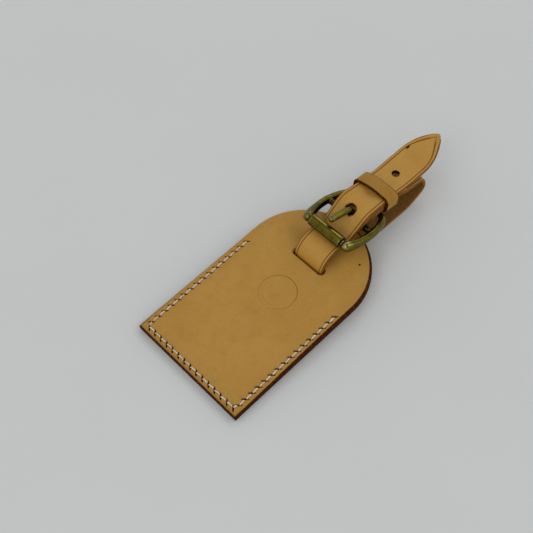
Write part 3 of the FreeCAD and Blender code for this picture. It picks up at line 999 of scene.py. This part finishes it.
def make_strap(leather):
    """The whole strap as one swept piece, with its holes cut afterwards."""
    step = 0.6
    line, thick, lengths = follow_route(strap_route(), step)
    along = unit(np.gradient(line, axis=0))
    normal = np.column_stack([along[:, 1], -along[:, 0]])
    tip_run = lengths < TIP_RUN
    # x and z are views of the line, so they follow what is added to it below.
    x, z = line.T
    half = strap_half_width(x, tip_run & (x > TIP_X - TIP_LENGTH))
    roll = np.where(tip_run, ROLL_MAX * smooth_bump(x - ROLL_MID, ROLL_REACH), 0)
    roll += np.where(tip_run, TIP_ROLL * ease(x, *TIP_ROLL_X), 0)
    line[:, 1] += np.where(tip_run, TIP_LIFT * ease(x, *TIP_LIFT_X), 0)
    loop_roll = np.where(tip_run, 0, LOOP_ROLL * ease(x, *LOOP_ROLL_X) * ease(z, *LOOP_ROLL_Z))
    line[:, 1] += STRAP_WIDE / 2 * np.sin(loop_roll)
    roll += loop_roll
    rows = strap_section()
    sides = len(rows)
    points = np.zeros((len(line), sides, 3))
    edge, flesh, groove = np.zeros((3, len(line), sides))
    slope = np.clip(-np.gradient(half, x + 1e-9), 0, 1.1) * tip_run
    widen = np.hypot(1.0, slope) * (1 + TIP_WIDEN * ease(x, *TIP_WIDEN_X) * tip_run)
    squeeze = np.minimum(widen, half / 2.6)
    lean = TIP_LEAN * np.clip((x - TIP_LEAN_X) / TIP_LEAN_LONG, 0, 1) ** 1.5 * tip_run
    dish = DISH * tip_run * smooth_bump(x - DISH_X, DISH_REACH)
    closing = tip_run & (half < TIP_CLOSING)
    crease_y = half - CREASE_IN * widen
    for k, (share, inset, height, dip, dark, inside, line_dark) in enumerate(rows):
        y = share * (half - (BORDER if inset is None else inset) * squeeze)
        off_crease = np.minimum(np.abs(y - crease_y), np.abs(y + crease_y))
        crossing = smooth_bump(off_crease, CREASE_INK_WIDE) * (height > 0.99)
        lift = thick / 2 * height - np.where(closing, CREASE_DEEP * crossing, dip)
        lift = lift - dish * (height > 0) * smooth_bump(y, DISH_REACH)
        wave = 0.0 if inset is not None and inset < 0.6 else WAVE * np.sin(lengths / 5.3 + y / 4.0)
        up = lift * np.cos(roll) + y * np.sin(roll) + wave
        out = y * np.cos(roll) - lift * np.sin(roll) + lean
        points[:, k] = np.column_stack([x + normal[:, 0] * up, out, z + normal[:, 1] * up])
        edge[:, k] = dark
        flesh[:, k] = inside
        groove[:, k] = np.where(closing, CREASE_DARK * crossing, line_dark)
    points[:, :, 2] = np.maximum(points[:, :, 2], 0.0)
    faces = ring_faces(len(line), sides)
    masks = {"edge": edge.ravel(), "flesh": flesh.ravel(), "groove": groove.ravel()}
    strap = make_object("strap_leather", points.reshape(-1, 3), faces, masks)
    for cutter in strap_cutters():
        cut_away(strap, cutter)
    darken_holes(strap)
    finish_piece(strap, "strap", "strap_leather", leather, "strap")


def strap_cutters():
    """The room for the prong's eye, the prong's hole and the free hole."""
    across = np.array([0.0, 1.0, 0.0])
    room = circle_points((BAR_X, 0, BAR_Z), EYE_RADIUS + 0.25, (1, 0, 0), (0, 0, 1))
    low, high = BAR_Z - EYE_ROOM_BELOW, BAR_Z + EYE_ROOM_ABOVE
    window = [(BAR_X, 0, low), (EYE_ROOM_END, 0, low), (EYE_ROOM_END, 0, high), (BAR_X, 0, high)]
    for outline in (room, window):
        yield prism(outline, -EYE_ROOM_WIDE / 2, EYE_ROOM_WIDE / 2, across)
    foot, shoulder = np.array(PRONG_LINE[0]), np.array(PRONG_LINE[1])
    way = (shoulder - foot) / np.linalg.norm(shoulder - foot)
    hole = circle_points(foot + [0.4, 0, 0], PRONG_HOLE_RADIUS, (0, 1, 0), np.cross(way, (0, 1, 0)))
    yield prism(hole, *PRONG_CUT, way)
    free = circle_points((FREE_HOLE_X, 0, 0), FREE_HOLE_RADIUS, (1, 0, 0), (0, 1, 0))
    yield prism(free, *FREE_CUT, np.array([0.0, 0.0, 1.0]))


def darken_holes(strap):
    """Darkens the strap round the prong's hole and on the free hole's far side as painted shade, and marks a
    dark nick in the crease.
    """
    x, y, z = vertex_places(strap).T
    layer = strap.data.attributes["groove"]
    groove = np.zeros(len(x), np.float32)
    layer.data.foreach_get("value", groove)
    nick = np.hypot((x - NICK[0]) / NICK_STRETCH, y - NICK[1]) < NICK_REACH
    prong_hole = np.hypot(x - PRONG_LINE[1][0] - 0.45, y) < PRONG_HOLE_RADIUS + 0.3
    far_side = x - FREE_HOLE_X + y > 0.3
    free_hole = far_side & (np.hypot(x - FREE_HOLE_X, y) < FREE_HOLE_RADIUS + 0.1)
    # The two holes get painted shade, the nick a dark mark.
    for near, low, ink_and_shade in ((nick, 20.0, 0.95), (prong_hole, 20.0, 0.85), (free_hole, 19.5, 0.95)):
        groove = np.where(near & (z > low), ink_and_shade, groove)
    layer.data.foreach_set("value", groove.astype(np.float32))


def make_fold_thread(thread):
    """The short row of stitches that closes the fold behind the centre bar."""
    strands = []
    top = layer_height(FOLD_SEAM_X, 1) - 0.45 + STRAP_THICK / 2
    low = layer_height(FOLD_SEAM_X, 2) - 0.1 - STRAP_THICK / 2
    for i in range(3):
        start = np.array([FOLD_SEAM_X, (i - 1.5) * PITCH + 0.3])
        end = np.array([FOLD_SEAM_X, (i - 0.5) * PITCH - 0.3])
        strands += ply_strands(stitch_line(start, end, low, 0.22, -1.0), i)
        strands += ply_strands(stitch_line(start, end, top, 0.12, 1.0), i)
    obj = thread_object("fold_stitching", strands, np.array)
    finish_piece(obj, "strap", "thread", thread, "strap_fold_thread")


# ---- the keeper ----

def keeper_points(y, up, along):
    """Points about the keeper's middle, tilted with the strap that it holds."""
    angle = math.atan(KEEPER_SLOPE)
    along = along + KEEPER_SHIFT - KEEPER_YAW * y
    x = KEEPER_MID[0] + along * math.cos(angle) - up * math.sin(angle)
    z = KEEPER_MID[1] + along * math.sin(angle) + up * math.cos(angle)
    return np.column_stack([x, y + KEEPER_SIDE, z])


def make_keeper(leather, thread):
    """A strip of leather bent round the strap's layers and stitched together beneath."""
    high = STRAP_THICK / 2 + KEEPER_GAP + KEEPER_WALL / 2
    low = -2 * LAYER_STEP - STRAP_THICK / 2 - KEEPER_GAP - KEEPER_WALL / 2
    half = STRAP_WIDE / 2 + 0.25 + KEEPER_WALL / 2
    centre_up, reach_up = (high + low) / 2, (high - low) / 2
    path = rounded_rectangle(half, reach_up, KEEPER_CORNER) + [0, centre_up]
    path = np.vstack([path, path[:1]])
    lengths = lengths_along(path)
    even = np.linspace(0, lengths[-1], 120, endpoint=False)
    y = np.interp(even, lengths, path[:, 0])
    up = np.interp(even, lengths, path[:, 1])
    up += KEEPER_CROWN * smooth_bump(y, half) * (up > centre_up + 0.5 * reach_up)
    ring = np.column_stack([y, up])
    along = unit(np.roll(ring, -1, 0) - np.roll(ring, 1, 0))
    out = np.column_stack([along[:, 1], -along[:, 0]])
    wander = 0.12 * np.sin(even / 6.0)
    section = keeper_section()
    points = [keeper_points(*(ring + out * height).T, place + wander) for place, height, _, _ in section]
    grid = np.array(points).transpose(1, 0, 2).reshape(-1, 3)
    masks = {"edge": [row[2] for row in section] * len(ring),
             "flesh": [row[3] for row in section] * len(ring)}
    keeper = make_object("keeper_leather", grid, ring_faces(len(ring), len(section), closed=True), masks)
    finish_piece(keeper, "keeper", "keeper_leather", leather, "keeper_loop")
    share = np.linspace(-1, 1, 13)
    thread_up = low - KEEPER_WALL / 2 + 0.1 - 0.15 * np.cos(share * np.pi / 2)
    strands = []
    for i in range(3):
        line = keeper_points(share * KEEPER_STITCH / 2, thread_up, (i - 1) * KEEPER_PITCH)
        strands += ply_strands(line, i)
    stitches = thread_object("keeper_stitching", strands, np.array)
    finish_piece(stitches, "keeper", "thread", thread, "keeper_thread")


def keeper_section():
    """Across the keeper's strip: (place along the strap, height, edge mask, flesh mask)."""
    half = KEEPER_LONG / 2
    wall = KEEPER_WALL / 2
    edges = []
    for sign in (1, -1):
        turn = sign * np.radians(np.linspace(70, -70, 7))
        edges.append([(sign * (half - 0.5 + 0.5 * math.cos(a)), wall * math.sin(a), 0.95, 0.0) for a in turn])
    rows = []
    for x in np.linspace(0.6 - half, half - 0.6, 11):
        rows.append((x, wall, 0.35 * smooth_bump(half - abs(x) - 0.5, 0.5), 0.0))
    under = [(x, -wall, 0.0, 1.0) for x in np.linspace(half - 0.6, 0.6 - half, 5)]
    return rows + edges[0] + under + edges[1]


# ---- the buckle ----

def place_buckle(points):
    """Moves points made about the level centre bar to the buckle's place."""
    p = np.asarray(points, float)
    cos, sin = math.cos(BUCKLE_PITCH), math.sin(BUCKLE_PITCH)
    x = BAR_X + p[:, 0] * cos + p[:, 2] * sin
    z = BAR_Z - p[:, 0] * sin + p[:, 2] * cos
    return np.column_stack([x, p[:, 1] + BUCKLE_Y, z])


def frame_outline():
    """The middle line of the arms and the rear side, from one front corner to the other."""
    chord = FRONT_REACH + ARM_END
    bow = ((chord / 2) ** 2 + ARM_BULGE ** 2) / (2 * ARM_BULGE)
    mid_x = (ARM_END - FRONT_REACH) / 2
    mid_y = FRONT_HALF_WIDE + ARM_BULGE - bow
    half_angle = math.asin(chord / 2 / bow)
    lean = math.pi / 2 - half_angle
    corner = (REAR_REACH - ARM_END) / (1 - math.cos(lean))
    corner_x = ARM_END - corner * math.cos(lean)
    corner_y = FRONT_HALF_WIDE - corner * math.sin(lean)
    arm = np.linspace(math.pi / 2 + half_angle, math.pi / 2 - half_angle, 40)
    bend = np.linspace(lean, 0, 20)
    upper = [(mid_x + bow * math.cos(a), mid_y + bow * math.sin(a)) for a in arm]
    upper += [(corner_x + corner * math.cos(a), corner_y + corner * math.sin(a)) for a in bend[1:]]
    upper = np.array(upper)
    lower = upper[::-1] * [1, -1]
    outline = np.vstack([upper, lower])
    return np.column_stack([outline, np.zeros(len(outline))])


def wear_highlight_shade_masks(obj):
    """Marks the brass rubbed bright at the front corners, with a painted highlight that is strongest on the
    -Y side, and painted shade on the flanks that face into the frame and on the centre bar.
    """
    x, y, _ = vertex_places(obj).T
    across = np.abs(y - BUCKLE_Y)
    # The -Y side gets more, as a painted highlight.
    side = np.where(y < BUCKLE_Y, 1.0, 0.35)
    near_front = side * smooth_bump(x - (BAR_X - FRONT_REACH), 4.5) * smooth_bump(across - 12.0, 3.0)
    add_mask(obj.data, "wear_and_highlight", near_front)
    inward = -np.sign(y - BUCKLE_Y) * vertex_rows(obj, "normal")[:, 1]
    # Painted shade on the inward flanks and on the centre bar.
    inner_shade = np.clip(2.2 * inward - 0.5, 0, 1) * (across > 6.0)
    on_bar = (np.abs(x - BAR_X) < BAR_RADIUS + 0.6) & (across < 12.5)
    add_mask(obj.data, "dirt_and_shade", np.maximum(inner_shade, on_bar))


def make_frame(brass):
    """The cast frame: arms, rear side, centre bar, front bar and its stout corners."""
    outline = frame_outline()
    across = np.abs(outline[:, 1])
    front = smooth_bump(outline[:, 0] + FRONT_REACH, 9.0)
    rear = smooth_bump(outline[:, 0] - REAR_REACH, 6.0)
    radii = ARM_RADIUS + FRONT_STOUTER * front - REAR_THINNER * rear * (across < 9)
    parts = [tube(outline, radii, 20)]
    bars = ((0, BAR_HALF_LONG, BAR_RADIUS), (-FRONT_REACH, FRONT_HALF_WIDE, FRONT_BAR_RADIUS))
    for x, reach, radius in bars:
        parts.append(tube([(x, y, 0) for y in (-reach, 0, reach)], radius, 20))
    for side in (-1, 1):
        centre = np.array([-FRONT_REACH, side * FRONT_HALF_WIDE, 0])
        turn = np.linspace(-0.97, 0.97, 11) * math.pi / 2
        line = [centre + [0, side * CORNER_RADIUS * math.sin(a), 0] for a in turn]
        radii = [max(CORNER_RADIUS * math.cos(a), 0.05) for a in turn]
        parts.append(tube(line, radii, 20))
    points, faces = gather(parts)
    obj = make_object("buckle_casting", place_buckle(points), faces)
    fuse_metal(obj, 0.2, 4)
    wear_highlight_shade_masks(obj)
    finish_piece(obj, "buckle", "antique_brass", brass, "buckle_frame")


def make_roller(brass):
    """A rolled brass tube with rounded lips and the fine seam where its edges meet."""
    half = ROLLER_LONG / 2
    profile = [(-half + 0.35, ROLLER_BORE), (-half + 0.08, ROLLER_BORE + 0.1), (-half, ROLLER_BORE + 0.35),
               (-half, ROLLER_RADIUS - 0.45), (-half + 0.1, ROLLER_RADIUS - 0.2),
               (-half + 0.3, ROLLER_RADIUS - 0.05), (-half + 0.55, ROLLER_RADIUS)]
    middle = [(y, ROLLER_RADIUS) for y in np.linspace(-half + 1.2, half - 1.2, 13)]
    mirrored = [(-y, r) for y, r in profile[::-1]]
    loop = profile + middle + mirrored
    turn = np.linspace(0, 2 * math.pi, ROLLER_SIDES, endpoint=False)
    seam = ROLLER_SEAM_DEEP * smooth_bump((turn - 0.9 * math.pi) * ROLLER_RADIUS, ROLLER_SEAM_WIDE)
    rings = []
    for y, r in loop:
        depth = seam if r > ROLLER_RADIUS - 0.4 else 0 * seam
        x = -FRONT_REACH + (r - depth) * np.cos(turn)
        z = (r - depth) * np.sin(turn)
        rings.append(np.column_stack([x, np.full(ROLLER_SIDES, y + ROLLER_SHIFT), z]))
    faces = ring_faces(len(rings), ROLLER_SIDES, closed=True)
    obj = make_object("roller_tube", place_buckle(np.vstack(rings)), faces, roller_masks(loop))
    finish_piece(obj, "roller", "antique_brass", brass, "buckle_roller")


def roller_masks(loop):
    """The roller is a little rubbed by its two lips, and has painted shade at its ends and inside."""
    profile = np.array(loop)
    wear_and_highlight = 0.4 * smooth_bump(ROLLER_LONG / 2 - np.abs(profile[:, 0]), 1.0)
    dark = (profile[:, 1] < ROLLER_RADIUS - 0.1).astype(float)
    return {"wear_and_highlight": np.repeat(wear_and_highlight, ROLLER_SIDES), "dirt_and_shade": np.repeat(dark, ROLLER_SIDES)}


def make_prong(brass):
    """The prong: an eye on the centre bar, an upright part, a shoulder and a blunt tip."""
    foot, shoulder, tip = (np.array(p) for p in PRONG_LINE)
    turn = np.linspace(0, 2 * math.pi, 48, endpoint=False)
    eye_mid = (EYE_RADIUS + BAR_RADIUS + 0.1) / 2
    eye_line = np.array([(BAR_X + eye_mid * math.cos(a), 0.0, BAR_Z + eye_mid * math.sin(a)) for a in turn])
    parts = [tube(eye_line + [0, y, 0], EYE_WIRE, 12, closed=True) for y in (-EYE_SPREAD, 0.0, EYE_SPREAD)]
    corners = [(foot[0], foot[2], 0, 1), (shoulder[0], shoulder[2], 1.9, 1), (tip[0], tip[2], 0, 1)]
    line, _, lengths = follow_route(corners, 0.4)
    share = np.clip((lengths - 4.0) / (lengths[-1] - 4.0), 0, 1)
    middle = np.column_stack([line[:, 0], share * tip[1], line[:, 1]])
    radii = PRONG_RADIUS + (PRONG_TIP_RADIUS - PRONG_RADIUS) * share
    end = middle[-1] - middle[-2]
    end /= np.linalg.norm(end)
    cap_turn = np.linspace(0.1, 0.97, 8) * math.pi / 2
    cap = [middle[-1] + end * PRONG_TIP_RADIUS * math.sin(a) for a in cap_turn]
    cap_radii = [PRONG_TIP_RADIUS * math.cos(a) for a in cap_turn]
    parts.append(tube(np.vstack([middle, cap]), np.concatenate([radii, cap_radii]), 20))
    points, faces = gather(parts)
    obj = make_object("prong_casting", points, faces)
    fuse_metal(obj, 0.15, 3)
    add_mask(obj.data, "wear_and_highlight", 0.4 * smooth_bump(vertex_places(obj)[:, 0] - PRONG_WORN_X, 3.0))
    finish_piece(obj, "prong", "antique_brass", brass, "buckle_prong")


# ---- floor, light and camera ----

def make_floor():
    """A tabletop just beneath the object."""
    mesh = bpy.data.meshes.new("floor")
    corners = [(x * FLOOR_REACH, y * FLOOR_REACH, 0) for x, y in ((-1, -1), (1, -1), (1, 1), (-1, 1))]
    mesh.from_pydata(corners, [], [(0, 1, 2, 3)])
    floor = bpy.data.objects.new("floor", mesh)
    floor.location.z = -FLOOR_DROP
    bpy.context.scene.collection.objects.link(floor)
    mesh.materials.append(floor_material())


def make_light():
    """Soft light from four sides, in a room that is darker overhead."""
    for name, place, side, power, colour in LIGHTS:
        data = bpy.data.lights.new(name, "AREA")
        data.shape = "RECTANGLE"
        data.size = side
        data.size_y = side
        data.energy = power
        data.color = colour
        light = bpy.data.objects.new(name, data)
        light.location = place
        aim = -Vector(place)
        light.rotation_euler = aim.to_track_quat("-Z", "Y").to_euler()
        bpy.context.scene.collection.objects.link(light)
    world = bpy.data.worlds.new("room")
    world.use_nodes = True
    tree = world.node_tree
    background = tree.nodes["Background"]
    background.inputs["Color"].default_value = ROOM_COLOUR
    split = tree.nodes.new("ShaderNodeSeparateXYZ")
    level = tree.nodes.new("ShaderNodeMapRange")
    level.inputs["To Min"].default_value = ROOM_LOW
    level.inputs["To Max"].default_value = ROOM_HIGH
    direction = tree.nodes.new("ShaderNodeTexCoord")
    tree.links.new(direction.outputs["Generated"], split.inputs["Vector"])
    tree.links.new(split.outputs["Z"], level.inputs["Value"])
    tree.links.new(level.outputs["Result"], background.inputs["Strength"])
    bpy.context.scene.world = world
    bpy.context.scene.view_settings.view_transform = "Standard"


def make_camera():
    """The view: where it aims, the direction that it looks in, and its lens."""
    azimuth, elevation = math.radians(VIEW_AZIMUTH), math.radians(VIEW_ELEVATION)
    level = math.cos(elevation)
    forward = Vector((-math.sin(azimuth) * level, math.cos(azimuth) * level, -math.sin(elevation)))
    target = Vector(to_row([VIEW_TARGET])[0])
    data = bpy.data.cameras.new("camera")
    data.lens = LENS
    data.sensor_width = SENSOR
    camera = bpy.data.objects.new("camera", data)
    turn = forward.to_track_quat("-Z", "Y").to_matrix()
    roll = Matrix.Rotation(math.radians(VIEW_ROLL), 3, "Z")
    camera.matrix_world = Matrix.Translation(target - forward * VIEW_DISTANCE * MM) @ (turn @ roll).to_4x4()
    bpy.context.scene.collection.objects.link(camera)
    bpy.context.scene.camera = camera


def main():
    """Builds the materials, the view, the light and then each piece in turn."""
    tag = leather_material("tag_vachetta", TAG_TONES, DARK_EDGE)
    strap = leather_material("strap_vachetta", STRAP_TONES, TAN_EDGE)
    keeper = leather_material("keeper_vachetta", KEEPER_TONES, DARK_EDGE)
    thread = thread_material()
    brass = brass_material()
    make_camera()
    make_floor()
    make_light()
    make_panels(tag)
    make_seam(thread)
    make_card(card_material())
    make_strap(strap)
    make_fold_thread(thread)
    make_keeper(keeper, thread)
    make_frame(brass)
    make_roller(brass)
    make_prong(brass)


main()
